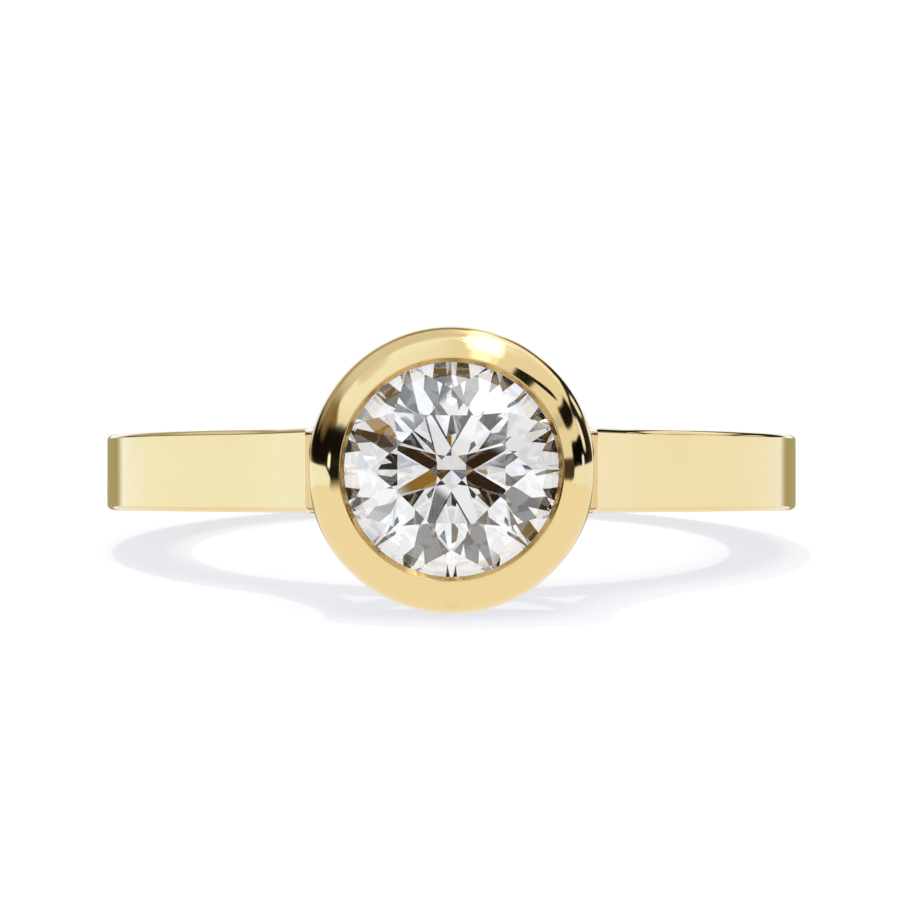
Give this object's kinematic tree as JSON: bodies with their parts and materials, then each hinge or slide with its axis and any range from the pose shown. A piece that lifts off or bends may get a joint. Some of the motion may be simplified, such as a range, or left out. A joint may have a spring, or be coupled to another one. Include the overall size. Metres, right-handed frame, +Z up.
{
  "type": "bezel-set diamond solitaire ring",
  "caption": "Yellow gold solitaire ring: a round brilliant diamond in a smooth rounded bezel, on shoulders that sweep up from a flat-sided band over an open basket.",
  "frame": {"origin": "on the ground under the middle of the ring's length and width, as it lies on its side", "axes": "+Z up, -Y the way that the stone faces, X across the band"},
  "size_m": [0.0212, 0.0256, 0.0075],
  "materials": {
    "gold": "high polish, yellow gold",
    "diamond": "polished facets, clear and colourless, refractive index 2.417"
  },
  "bodies": {
    "root": {"ring_body": "gold", "diamond": "diamond"}
  },
  "joints": []
}
